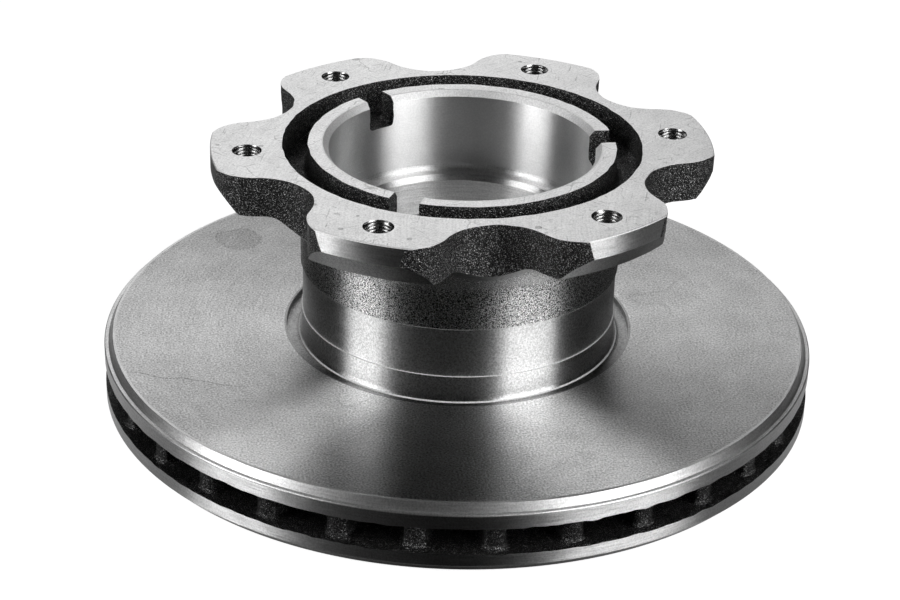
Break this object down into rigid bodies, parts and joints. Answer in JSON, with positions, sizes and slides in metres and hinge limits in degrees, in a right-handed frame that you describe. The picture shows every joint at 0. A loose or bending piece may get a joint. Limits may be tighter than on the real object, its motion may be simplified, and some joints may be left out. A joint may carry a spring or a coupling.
{
  "type": "brake disc",
  "caption": "Ventilated truck brake disc cast in one piece, with a long turned neck and a lobed flange with tapped holes, a pilot ring and a cast groove",
  "frame": {"origin": "centre of the free friction face, on the axis of the disc", "axes": "+Z along the axis, from the friction ring up to the hub flange; +X through one tapped hole and one slot of the pilot ring; +Y through a scallop of the flange"},
  "size_m": [0.304, 0.304, 0.114],
  "materials": {
    "iron": "turned, with as-cast surfaces in the flange and vents"
  },
  "bodies": {
    "root": {"brake_disc": "iron"}
  },
  "joints": []
}
